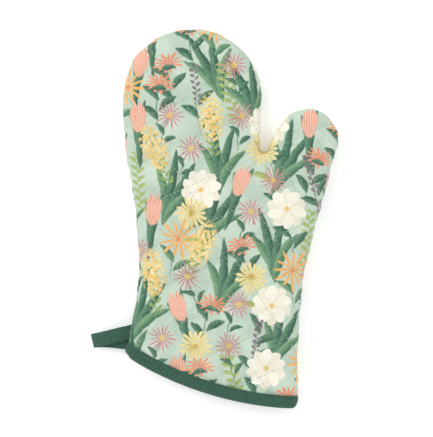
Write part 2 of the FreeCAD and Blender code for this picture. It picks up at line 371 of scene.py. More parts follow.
def panel(side, roll, top, inset, spacing, trim):
    """One panel as a grid of points: front with side 1, back with side -1."""
    line = trimmed(trim)
    inward = inward_normals(line)
    points, cloth, faces = [], [], []
    lengths = [math.dist(roll[k], roll[k + 1]) for k in range(len(roll) - 1)]
    last = line + inward * (inset + roll[-1][0])
    for k, (depth, rise) in enumerate(roll):
        ring = line + inward * (inset + depth)
        points.append(np.column_stack([ring, np.full(len(ring), HALF + side * rise)]))
        cloth.append(last - inward * sum(lengths[k:]))
    n = len(line)
    for k in range(len(roll) - 1):
        for i in range(n - 1):
            a, b = k * n + i, k * n + i + 1
            faces.append((a, b, b + n, a + n))
    rim = last
    mouth_line = cuff + inward_normals(cuff) * -trim
    mouth_line = mouth_line[(mouth_line[:, 0] > rim[0, 0] + 2) & (mouth_line[:, 0] < rim[-1, 0] - 2)]
    border = np.vstack([rim, mouth_line[::-1]])
    rows_apart = spacing * math.sqrt(3) / 2
    xs = np.arange(low[0], high[0], spacing)
    ys = np.arange(low[1], high[1], rows_apart)
    gx, gy = np.meshgrid(xs, ys)
    gx[1::2] += spacing / 2
    grid = np.column_stack([gx.ravel(), gy.ravel()])
    grid = grid[[covered(p) for p in grid]]
    roomy = (distance_to(long_edge, grid) > inset + roll[-1][0] + spacing * 0.6)
    grid = grid[roomy & (from_cuff(grid) > trim + spacing * 0.6)]
    flat = np.vstack([border, grid])
    loop = [(i, (i + 1) % len(border)) for i in range(len(border))]
    found = delaunay_2d_cdt([Vector(p) for p in flat], loop, [], 1, 1e-5)
    spots, triangles, sources = np.array(found[0]), found[2], found[3]
    index = []
    start = sum(len(p) for p in points)
    extra = []
    for spot, source in zip(spots, sources):
        ring_place = [s for s in source if s < n]
        if ring_place:
            index.append((len(roll) - 1) * n + ring_place[0])
        else:
            index.append(start + len(extra))
            extra.append(spot)
    extra = np.array(extra)
    beyond = distance_to(long_edge, extra) - inset - roll[-1][0]
    rise = roll[-1][1] + (top - roll[-1][1]) * (1 - np.exp(-np.maximum(beyond, 0) / 9))
    points.append(np.column_stack([extra, HALF + side * rise]))
    cloth.append(extra)
    faces += [tuple(index[i] for i in t) for t in triangles]
    if side > 0:
        faces = [f[::-1] if len(f) == 4 else f for f in faces]
    else:
        faces = [f[::-1] if len(f) == 3 else f for f in faces]
    return np.vstack(points), np.vstack(cloth), faces, n


# %% Join two panels along the side seam
def join_panels(roll, top, inset, spacing, trim):
    """Front and back as one mesh that shares its seam, with the cloth coordinates of every point."""
    points, cloth, faces, n = panel(1, roll, top, inset, spacing, trim)
    under_points, under_cloth, under_faces, _ = panel(-1, roll, top, inset, spacing, trim)
    shift = len(points) - n
    faces = faces + [tuple(i if i < n else i + shift for i in f) for f in under_faces]
    side = np.array([1.0] * len(points) + [-1.0] * (len(under_points) - n))
    return np.vstack([points, under_points[n:]]), np.vstack([cloth, under_cloth[n:]]), faces, side


def point_normals(points, faces):
    """The average direction of the faces round each point."""
    total = np.zeros_like(points)
    for corners in (3, 4):
        chosen = np.array([f for f in faces if len(f) == corners])
        if len(chosen):
            a, b, c = points[chosen[:, 0]], points[chosen[:, 1]], points[chosen[:, -1]]
            across = np.cross(b - a, c - a)
            for k in range(corners):
                np.add.at(total, chosen[:, k], across)
    return total / np.maximum(np.linalg.norm(total, axis=1, keepdims=True), 1e-9)


COVER_ROLL = [(1.5, 0.0), (0.5, 1.7), (0.0, 4.2), (0.5, 7.2), (2.2, 10.0), (5.0, 12.2), (8.6, 13.6)]
COVER_GRID = 2.2
UNDER_BINDING = 3.0
cover_points, cover_cloth, cover_faces, cover_side = join_panels(
    COVER_ROLL, TOP - HALF, 0.0, COVER_GRID, UNDER_BINDING)
print("cover:", len(cover_points), "points,", len(cover_faces), "faces")

# %% [markdown]
# ## Puffs, puckers and wrinkles
#
# Each row of stitches pulls the cover down into the wadding, and the cloth swells between rows. The
# thread also shortens the cloth a little, which shows as small puckers beside every row and seam,
# and the notch at the thumb sends wrinkles into the palm. These come first, as a lift of each point.

# %% Lift the cloth
crotch = np.array(joints["thumb_fold"]["pos_m"][:2]) / MM
PUFF_REACH, PUFF_FULLNESS = 14.0, 2.3
ROW_DEPTH = 3.0
PUCKER_LENGTH, PUCKER_HEIGHT, PUCKER_REACH = 2.6, 0.75, 5.0
NOTCH_TURN, NOTCH_FOLDS, NOTCH_DEPTH = 118, 8.0, 2.3


def swirl(plan, size, seed):
    """Smooth noise over the cloth, about -1 to 1, with bumps of that size."""
    return np.array([noise.noise(Vector((x / size, y / size, seed))) for x, y in plan])


def hump(gap):
    """A puff across one row spacing: 0 at the row, 1 in the middle."""
    return 1 - (1 - np.clip(gap / PUFF_REACH, 0, 1)) ** PUFF_FULLNESS


def quilt_lift(plan, cloth, side):
    """How far each point of the cover moves out, or in where that is negative."""
    gaps = from_rows(plan)
    inset = distance_to(long_edge, plan)
    into = 0.3 + 0.7 * smoothstep(0, 10, inset)
    lift = -ROW_DEPTH * into * (1 - hump(gaps[0]) * hump(gaps[1]))
    for (angle, _), gap, seed in zip(ROWS, gaps, (3.1, 7.7)):
        along = cloth @ np.array([math.cos(angle), math.sin(angle)])
        pucker = swirl(np.column_stack([along, gap * 0.25]), PUCKER_LENGTH, seed)
        lift += PUCKER_HEIGHT * pucker * np.exp(-gap / PUCKER_REACH) * smoothstep(0.0, 1.5, gap)
    lift += 0.7 * swirl(cloth + side[:, None] * 300, 21, 1.3) + 0.3 * swirl(cloth, 9, 5.9)
    seam = np.exp(-inset / PUCKER_REACH)
    lift += 0.5 * seam * swirl(cloth, 5.0, 11.0)
    away = plan - crotch
    reach = np.linalg.norm(away, axis=1)
    turn = np.degrees(np.arctan2(away[:, 1], away[:, 0]))
    fold = np.maximum(0, np.cos(np.radians((turn + NOTCH_TURN) * NOTCH_FOLDS))) ** 1.5
    fold *= smoothstep(75, 30, np.abs(turn + NOTCH_TURN))
    lift -= NOTCH_DEPTH * fold * np.exp(-((reach - 12) / 13) ** 2)
    return lift


cover_lift = quilt_lift(cover_points[:, :2], cover_cloth, cover_side)
cover_base = cover_points + point_normals(cover_points, cover_faces) * cover_lift[:, None]
REST_CLEAR = 0.25
cover_base[:, 2] = np.maximum(cover_base[:, 2], REST_CLEAR)

# %% [markdown]
# ## Let the cloth swell
#
# Blender's cloth solver finds the soft shape between the rows better than a formula. The stitched
# points and the seam are held, a little air presses from inside, and the cloth is allowed to be
# slightly larger than the panel, as it is after quilting. The movement is capped, and the result is
# kept as plain points.

# %% Swell
SWELL_CAP = 2.2
PRESSURE, ROOM = 3.0, 0.02
HELD_AT_ROW, HELD_AT_SEAM, HELD_AT_CUFF = 1.3, 2.0, 9
gaps = from_rows(cover_base[:, :2])
edge_gap = distance_to(long_edge, cover_points[:, :2])
held = np.minimum(gaps[0], gaps[1]) < HELD_AT_ROW
held |= (edge_gap < HELD_AT_SEAM) & (np.abs(cover_points[:, 2] - HALF) < 5)
held |= from_cuff(cover_points[:, :2]) < HELD_AT_CUFF


def swell(points, faces, held, pressure, room, frames=16):
    """The points after the cloth has settled under a little pressure."""
    piece = make_piece("swelling", points, faces)
    group = piece.vertex_groups.new(name="held")
    group.add(np.flatnonzero(held).tolist(), 1.0, "REPLACE")
    solver = piece.modifiers.new("Cloth", "CLOTH")
    cloth = solver.settings
    cloth.vertex_group_mass = "held"
    cloth.quality = 6
    cloth.mass = 0.02
    cloth.tension_stiffness = cloth.compression_stiffness = 8
    cloth.shear_stiffness = 3
    cloth.bending_stiffness = 0.02
    cloth.shrink_min = -room
    cloth.use_pressure = True
    cloth.uniform_pressure_force = pressure
    cloth.effector_weights.gravity = 0
    solver.collision_settings.use_collision = False
    solver.point_cache.frame_start = 1
    solver.point_cache.frame_end = frames
    for step in range(1, frames + 1):
        bpy.context.scene.frame_set(step)
    shaped = piece.evaluated_get(bpy.context.evaluated_depsgraph_get()).data
    found = np.array([v.co for v in shaped.vertices]) / MM
    bpy.context.scene.frame_set(1)
    bpy.data.objects.remove(piece)
    move = found - points
    size = np.linalg.norm(move, axis=1, keepdims=True)
    print(f"swelling: {size.mean():.2f} mm on average, {size.max():.2f} mm at most")
    return points + move * np.minimum(1, SWELL_CAP / np.maximum(size, 1e-9))


cover_shape = cover_base
cover_shape = swell(cover_base, cover_faces, held, PRESSURE, ROOM)
cover_shape[:, 2] = np.maximum(cover_shape[:, 2], REST_CLEAR)

# %% [markdown]
# ## Four cover pieces
#
# The thumb pocket folds on its own crease, so its cloth is made as a piece of its own.
# The finished cover is cut along that crease only now. Both sides of the cut keep the same points
# and the same shading directions, so the cut can't be seen.

# %% Cut at the thumb crease
crease_way = np.array(joints["thumb_fold"]["axis"][:2])
beyond_crease = np.array([-crease_way[1], crease_way[0]])
beyond_crease *= np.sign(beyond_crease[1])


def in_thumb(places):
    return ((places - crotch) @ beyond_crease > 0) & (places[:, 0] > crotch[0])


def fold_fingers(piece):
    """The piece's placement baked into its points."""
    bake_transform(piece)


def fold_thumb(piece):
    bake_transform(piece)


def cut_piece(name, points, cloth, faces, side, normals, chosen):
    """A piece of cloth from the chosen faces, with its cloth coordinates and shading directions."""
    kept = [f for f, keep in zip(faces, chosen) if keep]
    used = np.unique(np.concatenate([np.array(f) for f in kept]))
    place = np.full(len(points), -1)
    place[used] = np.arange(len(used))
    piece = make_piece(name, points[used], [place[list(f)] for f in kept])
    mark_cloth(piece, np.column_stack([cloth[used], side[used]]))
    piece.data.normals_split_custom_set_from_vertices(normals[used].tolist())
    return piece


def face_centres(points, faces):
    return np.array([points[list(f)].mean(0) for f in faces])


def cut_all(stem, points, cloth, faces, side):
    """Front and back, each with its thumb apart."""
    shade = point_normals(points, faces)
    centres = face_centres(points, faces)
    thumb = in_thumb(centres[:, :2])
    front = np.arange(len(faces)) < len(faces) // 2
    pieces = {}
    for half, here in (("front", front), ("back", ~front)):
        for tail, part in (("", here & ~thumb), ("_thumb", here & thumb)):
            piece = cut_piece(f"{stem}_{half}{tail}", points, cloth, faces, side, shade, part)
            (fold_thumb if tail else fold_fingers)(piece)
            pieces[half + tail] = piece
    return pieces


cover = cut_all("cover", cover_shape, cover_cloth, cover_faces, cover_side)
for key, piece in cover.items():
    half, _, tail = key.partition("_")
    stems = [f"{half}_shell", f"{half}_wadding"]
    ends = ["_thumb"] if tail else ["", "_fingers"]
    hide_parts(*[stem + end for stem in stems for end in ends])
print("cover pieces:", [p.name for p in cover.values()])

# %% [markdown]
# ## The lining
#
# The lining is plain cotton, sewn to the inside of the quilt, and it is seen only through the mouth.
# It is cut from the same outline, moved in by the thickness of the quilt, and it dips at the same
# rows of stitches, where the needle goes through.

# %% Line the pockets
LINING_IN = 6.4
LINING_ROLL = [(0.2, 0.0), (0.0, 2.0), (1.4, 4.9), (3.8, 7.0), (7.0, 8.0)]
LINING_TOP = 8.5
LINING_GRID = 4.5
LINING_TRIM = 5.0
lining_points, lining_cloth, lining_faces, lining_side = join_panels(
    LINING_ROLL, LINING_TOP, LINING_IN, LINING_GRID, LINING_TRIM)
gap_a, gap_b = from_rows(lining_points[:, :2])
lining_ease = 0.9 * (1 - hump(np.minimum(gap_a, gap_b))) + 0.5 * swirl(lining_cloth, 14, 2.2)
lining_shape = lining_points + point_normals(lining_points, lining_faces) * lining_ease[:, None]


lining = cut_all("lining", lining_shape, lining_cloth, lining_faces, lining_side)
lining_centres = face_centres(lining_points, lining_faces)
lining_thumb = in_thumb(lining_centres[:, :2])
lining_front = np.arange(len(lining_faces)) < len(lining_faces) // 2
for key, piece in lining.items():
    half, _, tail = key.partition("_")
    here = lining_front if half == "front" else ~lining_front
    here = here & (lining_thumb if tail else ~lining_thumb)
    ends = ["_thumb"] if tail else ["", "_fingers"]
    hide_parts(*[f"{half}_lining" + end for end in ends])

# %% [markdown]
# ## The bound mouth
#
# Binding is a folded tape: it goes over the raw edge like a hairpin, and one row of stitches holds
# both sides. Here the hairpin's section is swept once round the mouth, over the front, round the
# side and back under the mitt. The row of stitches pulls a shallow dip into the tape.

# %% Sweep the binding
BAND = [(10.9, -0.5), (11.1, 0.2), (10.8, 0.75), (10.2, 0.95), (9.6, 0.8), (9.2, 0.5), (8.8, 0.8), (7.8, 1.1),
        (5.5, 1.25), (3.0, 1.15), (1.3, 0.55), (0.2, -0.6), (-0.3, -2.1), (-0.2, -3.6), (0.6, -4.9),
        (2.4, -5.8), (5.0, -6.3), (8.5, -6.5), (10.8, -6.5), (11.0, -7.0), (10.4, -7.1)]
MOUTH_PROFILE = [(0.5, 0.0), (0.1, 2.4), (0.1, 4.6), (0.7, 7.3), (2.2, 10.0), (5.0, 12.2), (8.6, 13.6),
                 (12.5, 14.3), (17.0, 14.8), (23.0, 15.0)]
CORNER = 6.5
STITCH_ROW = 9.2
BAND_EDGE = 8
TABLE_CLEAR = 0.06


def cuff_level(v):
    """The cuff line moved in by v, from one side of the mitt to the other, as points and arc lengths."""
    line = run_on(cuff, 24)
    fine = np.vstack([line[k] + (line[k + 1] - line[k]) * t for k in range(len(line) - 1)
                      for t in np.linspace(0, 1, 9)[:-1]])
    way = np.gradient(fine, axis=0)
    way /= np.linalg.norm(way, axis=1, keepdims=True)
    moved = fine + np.stack([-way[:, 1], way[:, 0]], 1) * v
    reach = distance_to(run_on(edge, 14), moved)
    half = len(moved) // 2
    first, last = int(np.argmin(reach[:half])), half + int(np.argmin(reach[half:]))
    moved = moved[first:last + 1]
    return moved, run_of(moved)


def mouth_stations():
    """One turn round the mouth: how far along the cuff, the height, and the outward direction."""
    width = cuff_level(5.0)[1][-1]
    quarter = np.array(MOUTH_PROFILE)
    fine = np.column_stack([np.interp(np.linspace(0, 9, 37), range(10), quarter[:, i]) for i in range(2)])
    fine[1:-1] = (fine[:-2] + 2 * fine[1:-1] + fine[2:]) / 4
    top = np.column_stack([np.linspace(26, width - 26, 44), np.full(44, quarter[-1, 1])])
    over = np.vstack([fine, top, np.column_stack([width - fine[::-1, 0], fine[::-1, 1]])])
    below = over[::-1][1:-1] * [1, -1]
    ring = np.vstack([over, below])
    way = np.roll(ring, -1, 0) - np.roll(ring, 1, 0)
    way /= np.linalg.norm(way, axis=1, keepdims=True)
    return ring, np.stack([-way[:, 1], way[:, 0]], 1), width


def mouth_point(station, out, v, off, width):
    """Points for one line of the band, round the whole mouth."""
    rise = np.abs(station[:, 1]) / quarter_top
    from_side = np.minimum(station[:, 0], width - station[:, 0])
    round_off = CORNER * np.exp(-((from_side + 6 * rise) / 4.0) ** 2) * max(0.0, 1 - v / 9)
    places = np.zeros((len(station), 3))
    for k, (s, o, extra) in enumerate(zip(station, out, round_off)):
        level = levels[int(round((v + extra + 1) / LEVEL_STEP))]
        stretch = level[1][-1] / width
        moved, arc = level
        u = s[0] * stretch + o[0] * off
        x, y = (np.interp(u, arc, moved[:, i]) for i in range(2))
        if u < 0 or u > arc[-1]:
            tip, way = (moved[0], moved[0] - moved[3]) if u < 0 else (moved[-1], moved[-1] - moved[-4])
            more = -u if u < 0 else u - arc[-1]
            x, y = tip + way / np.linalg.norm(way) * more
        places[k] = (x, y, HALF + s[1] + o[1] * off)
    return places


LEVEL_STEP = 0.25
levels = [cuff_level(v) for v in np.arange(-1, 19, LEVEL_STEP)]
station, outward, mouth_width = mouth_stations()
quarter_top = MOUTH_PROFILE[-1][1]
band_lines = [mouth_point(station, outward, v, off, mouth_width) for v, off in BAND]
around_count = len(station)
band_points = np.vstack(band_lines)
band_points[:, 2] = np.maximum(band_points[:, 2], TABLE_CLEAR)
band_points[:, 2] += 0.12 * swirl(band_points[:, :2], 7.0, 4.4) * (band_points[:, 2] > HALF)
band_faces = []
for j in range(len(BAND) - 1):
    for i in range(around_count):
        here, ahead = j * around_count, (i + 1) % around_count
        band_faces.append((here + i, here + around_count + i, here + around_count + ahead, here + ahead))
binding = make_piece("binding", band_points, band_faces)
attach(binding, "hand")
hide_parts("cuff_binding")
band_cloth = np.zeros((len(band_points), 3))
around = run_of(band_lines[BAND_EDGE])
down = np.concatenate([[0], np.cumsum([math.dist(a, b) for a, b in zip(BAND, BAND[1:])])])
band_cloth[:, 0] = np.tile(around, len(BAND))
band_cloth[:, 1] = np.repeat(down, around_count)
mark_cloth(binding, band_cloth)
print(f"binding: {around[-1]:.0f} mm round the mouth")

# %% [markdown]
# ## The hang loop
#
# The loop is a length of the same tape, folded back on itself and caught in the side seam. A tape is
# wide and thin, so it is swept as a flat section with rounded edges. It droops a little, ends in a
# pressed fold, and its lower leg comes back fanned towards the cuff.

# %% Fold the loop
loop_axis = np.array(joints["loop_swing"]["axis"])
loop_root = np.array(joints["loop_swing"]["pos_m"]) / MM
loop_out = np.array([-loop_axis[1], loop_axis[0], 0.0])
LOOP_HALF_WIDTH, TAPE_HALF = 6.2, 0.55
loop_low = np.array(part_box("hang_loop")[0]) / MM
LOOP_REACH = (loop_root[0] - loop_low[0] - abs(loop_axis[0]) * LOOP_HALF_WIDTH) / abs(loop_out[0]) - 0.3
LOOP_PATH = [(-7.0, 1.0, 0.0), (-3.0, 1.2, 0.0), (1.0, 1.7, 0.0), (7.0, 1.9, 0.0), (14.0, 0.7, 0.2),
             (21.0, -1.9, 0.4), (27.0, -4.9, 0.5), (0.0, -7.2, 0.6), (0.2, -8.5, 0.8), (-1.0, -9.5, 1.0),
             (26.0, -9.8, 1.6), (20.0, -8.6, 3.0), (13.0, -5.9, 5.0), (6.0, -2.9, 7.2), (1.0, -1.2, 8.4),
             (-3.0, -1.0, 8.8), (-7.0, -1.0, 9.0)]
tip_places = {7: -0.9, 8: 0.0, 9: -1.0}


def through(points, steps):
    """A smooth line through the points, several steps to each run."""
    p = np.vstack([2 * points[0] - points[1], points, 2 * points[-1] - points[-2]])
    t = np.linspace(0, 1, steps + 1)[:-1, None]
    runs = []
    for a, b, c, d in zip(p, p[1:], p[2:], p[3:]):
        runs.append(b + 0.5 * t * (c - a + t * (2 * a - 5 * b + 4 * c - d + t * (3 * (b - c) + d - a))))
    return np.vstack(runs + [points[-1:]])


loop_plan = np.array([(LOOP_REACH + tip_places[k] if k in tip_places else t, z, fan)
                      for k, (t, z, fan) in enumerate(LOOP_PATH)])
loop_line = through(loop_plan, 5)
HALF_SECTION = [(-1.0, 0.0), (-0.985, 0.7), (-0.9, 1.0), (-0.45, 0.92),
                (0.0, 0.88), (0.45, 0.92), (0.9, 1.0), (0.985, 0.7)]
SECTION = HALF_SECTION + [(-a, -b) for a, b in HALF_SECTION]


def tape_along(line, half_width, half_thick):
    """A flat tape swept along a line given as reach, height and fan."""
    step = np.gradient(line, axis=0)
    points = []
    for (t, z, fan), (dt, dz, _) in zip(line, step):
        size = math.hypot(dt, dz)
        lift = np.array([*(loop_out[:2] * -dz), dt]) / size
        middle = loop_root + loop_out * t - loop_axis * fan + np.array([0, 0, z])
        points += [middle + loop_axis * half_width * a + lift * half_thick * b for a, b in SECTION]
    n = len(SECTION)
    faces = [(k * n + i, k * n + (i + 1) % n, (k + 1) * n + (i + 1) % n, (k + 1) * n + i)
             for k in range(len(line) - 1) for i in range(n)]
    faces += [tuple(range(n))[::-1], tuple(range(len(points) - n, len(points)))]
    return np.array(points), faces


loop_points, loop_faces = tape_along(loop_line, LOOP_HALF_WIDTH, TAPE_HALF)
loop_piece = make_piece("loop_tape", loop_points, loop_faces)
loop_run = run_of(loop_line[:, :2])
loop_cloth = np.zeros((len(loop_points), 3))
loop_cloth[:, 0] = np.repeat(loop_run, len(SECTION))
loop_cloth[:, 1] = np.tile([a * LOOP_HALF_WIDTH for a, _ in SECTION], len(loop_line))
mark_cloth(loop_piece, loop_cloth)


def swing_loop(piece):
    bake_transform(piece)


swing_loop(loop_piece)
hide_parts("hang_loop", "hang_loop_ends")
print(f"loop: {loop_run[-1]:.0f} mm of tape, reaching {LOOP_REACH:.1f} mm from the seam")

# %% [markdown]
# ## Stitches
#
# A stitch is a short length of thread that lies on the cloth and dives in at both ends. One small
# capsule is copied along every row. The places come from the finished cloth, by looking straight
# down at it, so each stitch sits in its own dip.

# %% Sew
STITCH_LENGTH, STITCH_STEP, THREAD_RADIUS = 2.5, 3.6, 0.26
STITCH_DIVE, STITCH_LIFT = 0.22, 0.12
ROW_TO_EDGE, ROW_TO_CUFF = 1.6, 12.6
CAPSULE_SIDES = 6
CAPSULE = [(-1.0, 0.25), (-0.9, 0.75), (-0.6, 1.0), (0.6, 1.0), (0.9, 0.75), (1.0, 0.25)]


def sew(name, places, ways, ups, slot):
    """A piece made of capsules: each with its middle, its direction and the way up."""
    points, faces = [], []
    n = CAPSULE_SIDES
    for place, way, up in zip(places, ways, ups):
        way = way / np.linalg.norm(way)
        up = up - way * (up @ way)
        up /= np.linalg.norm(up)
        across = np.cross(way, up)
        start = len(points)
        for t, r in CAPSULE:
            middle = place + way * t * STITCH_LENGTH / 2 - up * STITCH_DIVE * t * t
            for k in range(n):
                a = 2 * math.pi * k / n
                points.append(middle + THREAD_RADIUS * r * (math.cos(a) * across + math.sin(a) * up))
        for j in range(len(CAPSULE) - 1):
            faces += [(start + j * n + k, start + j * n + (k + 1) % n, start + (j + 1) * n + (k + 1) % n,
                       start + (j + 1) * n + k) for k in range(n)]
        faces += [tuple(start + k for k in range(n))[::-1],
                  tuple(start + (len(CAPSULE) - 1) * n + k for k in range(n))]
    piece = make_piece(name, np.array(points), faces)
    return piece


def row_places(side):
    """Stitches of all rows on one face of the mitt: middle, direction and way up."""
    half = len(cover_faces) // 2
    keep = cover_faces[:half] if side > 0 else cover_faces[half:]
    tree = BVHTree.FromPolygons([Vector(p) for p in cover_shape], [tuple(f) for f in keep])
    found = []
    for angle, middles in ROWS:
        way = np.array([math.cos(angle), math.sin(angle)])
        across = np.array([-way[1], way[0]])
        for middle in middles:
            line = across * middle + way * np.arange(-260, 260, STITCH_STEP)[:, None]
            line = line[[covered(p) for p in line]]
            if not len(line):
                continue
            line = line[(distance_to(long_edge, line) > ROW_TO_EDGE) & (from_cuff(line) > ROW_TO_CUFF)]
            for p in line:
                start = Vector((p[0], p[1], HALF + side * 40))
                hit, normal, _, _ = tree.ray_cast(start, Vector((0, 0, -side)))
                if hit is not None:
                    up = np.array(normal)
                    found.append((np.array(hit) + STITCH_LIFT * up, np.array([*way, 0.0]), up))
    return found


def sew_split(stem, found, slot, nodes):
    """The stitches in two pieces, those on the thumb and the rest."""
    thumb = in_thumb(np.array([f[0][:2] for f in found]))
    for tail, part, ends in (("", ~thumb, ["", "_fingers"]), ("_thumb", thumb, ["_thumb"])):
        chosen = [f for f, keep in zip(found, part) if keep]
        piece = sew(stem + tail, *zip(*chosen), slot)
        (fold_thumb if tail else fold_fingers)(piece)
        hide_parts(*[nodes + end for end in ends])
        threads.append(piece)
        print(piece.name, len(chosen), "stitches")


threads = []
for half, side in (("front", 1), ("back", -1)):
    sew_split(f"stitches_{half}", row_places(side), "quilting_thread", f"{half}_quilting_thread")

# %% Seam, binding and loop stitches
SEAM_INSET, BAND_LIFT, LOOP_INSET = 1.0, 0.62, 1.6
seam_line = trimmed(12.0)
seam_in = inward_normals(seam_line)
seam_arc = run_of(seam_line)
seam_spots = np.arange(2, seam_arc[-1] - 2, STITCH_STEP)
seam_sewn = seam_line + seam_in * SEAM_INSET
seam_at = np.column_stack([np.interp(seam_spots, seam_arc, seam_sewn[:, i]) for i in range(2)])
seam_way = np.gradient(seam_at, axis=0)
seam_out = np.stack([-seam_way[:, 1], seam_way[:, 0]], 1)
seam_found = [(np.array([*p, HALF]), np.array([*w, 0.0]), np.array([*o, 0.0]))
              for p, w, o in zip(seam_at, seam_way, seam_out)]
sew_split("seam_stitches", seam_found, "seam_thread", "side_seam_thread")

row = mouth_point(station, outward, STITCH_ROW, BAND_LIFT, mouth_width)
row = np.vstack([row, row[:1]])
row_arc = run_of(row)
spots = np.arange(0, row_arc[-1], STITCH_STEP)
row_at = np.column_stack([np.interp(spots, row_arc, row[:, i]) for i in range(3)])
row_way = np.gradient(row_at, axis=0)
row_up = np.column_stack([np.zeros((len(row_at), 2)), np.sign(row_at[:, 2] - HALF) + 1e-3])
row_at[:, 2] = np.maximum(row_at[:, 2], 0.3)
binding_thread = sew("binding_thread", row_at, row_way, row_up, "tape_thread")
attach(binding_thread, "hand")
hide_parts("binding_stitches")

loop_edge = loop_line[(loop_run > 9) & (loop_run < loop_run[-1] - 9)]
edge_run = run_of(loop_edge[:, :2])
spots = np.arange(1, edge_run[-1], STITCH_STEP)
loop_at, loop_way, loop_up = [], [], []
for t, z, fan, dt, dz in zip(*(np.interp(spots, edge_run, loop_edge[:, i]) for i in range(3)),
                             *(np.interp(spots, edge_run, np.gradient(loop_edge[:, i])) for i in range(2))):
    size = math.hypot(dt, dz)
    lift = np.array([*(loop_out[:2] * -dz), dt]) / size
    place = loop_root + loop_out * t - loop_axis * (fan + LOOP_HALF_WIDTH - LOOP_INSET) + np.array([0, 0, z])
    loop_at.append(place + lift * TAPE_HALF)
    loop_way.append(np.array([*(loop_out[:2] * dt), dz]))
    loop_up.append(lift)
loop_thread = sew("loop_thread", loop_at, loop_way, loop_up, "tape_thread")
swing_loop(loop_thread)
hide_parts("loop_stitches")
threads += [binding_thread, loop_thread]

# %% [markdown]
# ## The printed cotton
#
# The cloth is plain-woven cotton, printed from a painted meadow: long leaves, leafy stems and open
# flowers on pale mint. Drawing it as a picture would be the usual way. Here every flower is a small
# recipe of nodes instead, laid on the cloth in millimetres, so the print stays sharp at any size and
# moves with the cloth when a pocket folds.
#
# Five recipes are enough: a brush stroke, a leafy stem, an open flower, a tulip and a spray of dots.
# Each gets its own X and Y, worked out from its place, turn and size by two dot products, and gives
# back a colour and a mask. A Mapping node would do the same, but the renderer keeps the result of
# every Mapping node until the end, and it has no room for so many. For the same reason no node in a
# recipe clamps its result: the Mix node that lays the motif on the cloth does that.

# %% Names for the node kinds
MATH, VECTOR_MATH, COLOUR_MIX = "ShaderNodeMath", "ShaderNodeVectorMath", "ShaderNodeMix"
TIMES, PLUS, MINUS = ({"operation": op} for op in ("MULTIPLY", "ADD", "SUBTRACT"))
TIMES_PLUS, POWER, SIZE_OF = ({"operation": op} for op in ("MULTIPLY_ADD", "POWER", "ABSOLUTE"))
LENGTH, DOT = {"operation": "LENGTH"}, {"operation": "DOT_PRODUCT"}
COLOURS = {"data_type": "RGBA"}


def recipe(name, numbers, paints):
    """An empty group for one kind of motif, and its input sockets."""
    tree = bpy.data.node_groups.new(name, "ShaderNodeTree")
    for number in ("X", "Y", "Streak", "Sharp", *numbers):
        tree.interface.new_socket(number, in_out="INPUT", socket_type="NodeSocketFloat")
    for paint in paints:
        tree.interface.new_socket(paint, in_out="INPUT", socket_type="NodeSocketColor")
    tree.interface.new_socket("Colour", in_out="OUTPUT", socket_type="NodeSocketColor")
    tree.interface.new_socket("Mask", in_out="OUTPUT", socket_type="NodeSocketFloat")
    return tree, add(tree, "NodeGroupInput").outputs


def add_links(tree, node, share, first, second):
    for key, value in ((0, share), (6, first), (7, second)):
        tree.links.new(value, node.inputs[key])


# %% A brush stroke: stem, blade or leaf
def brush_stroke():
    tree, given = recipe("brush stroke", ("Width", "Bend", "Point"), ("Dark", "Light"))
    x, y = given["X"], given["Y"]
    square = add(tree, MATH, x, x, settings=TIMES).outputs[0]
    taper = add(tree, MATH, 1.0, square, settings=MINUS).outputs[0]
    swell = add(tree, MATH, taper, given["Point"], settings=POWER).outputs[0]
    body = add(tree, MATH, swell, given["Width"], settings=TIMES).outputs[0]
    off = add(tree, MATH, square, given["Bend"], y, settings=TIMES_PLUS).outputs[0]
    gap = add(tree, MATH, off, settings=SIZE_OF).outputs[0]
    inside = add(tree, MATH, body, gap, settings=MINUS).outputs[0]
    mask = add(tree, MATH, inside, given["Sharp"], settings=TIMES).outputs[0]
    vein = add(tree, MATH, off, given["Sharp"], settings=TIMES).outputs[0]
    tone = add(tree, MATH, vein, 0.22, given["Streak"], settings=TIMES_PLUS).outputs[0]
    colour = add(tree, COLOUR_MIX, settings=COLOURS)
    add_links(tree, colour, tone, given["Dark"], given["Light"])
    add(tree, "NodeGroupOutput", colour.outputs[2], mask)
    return tree


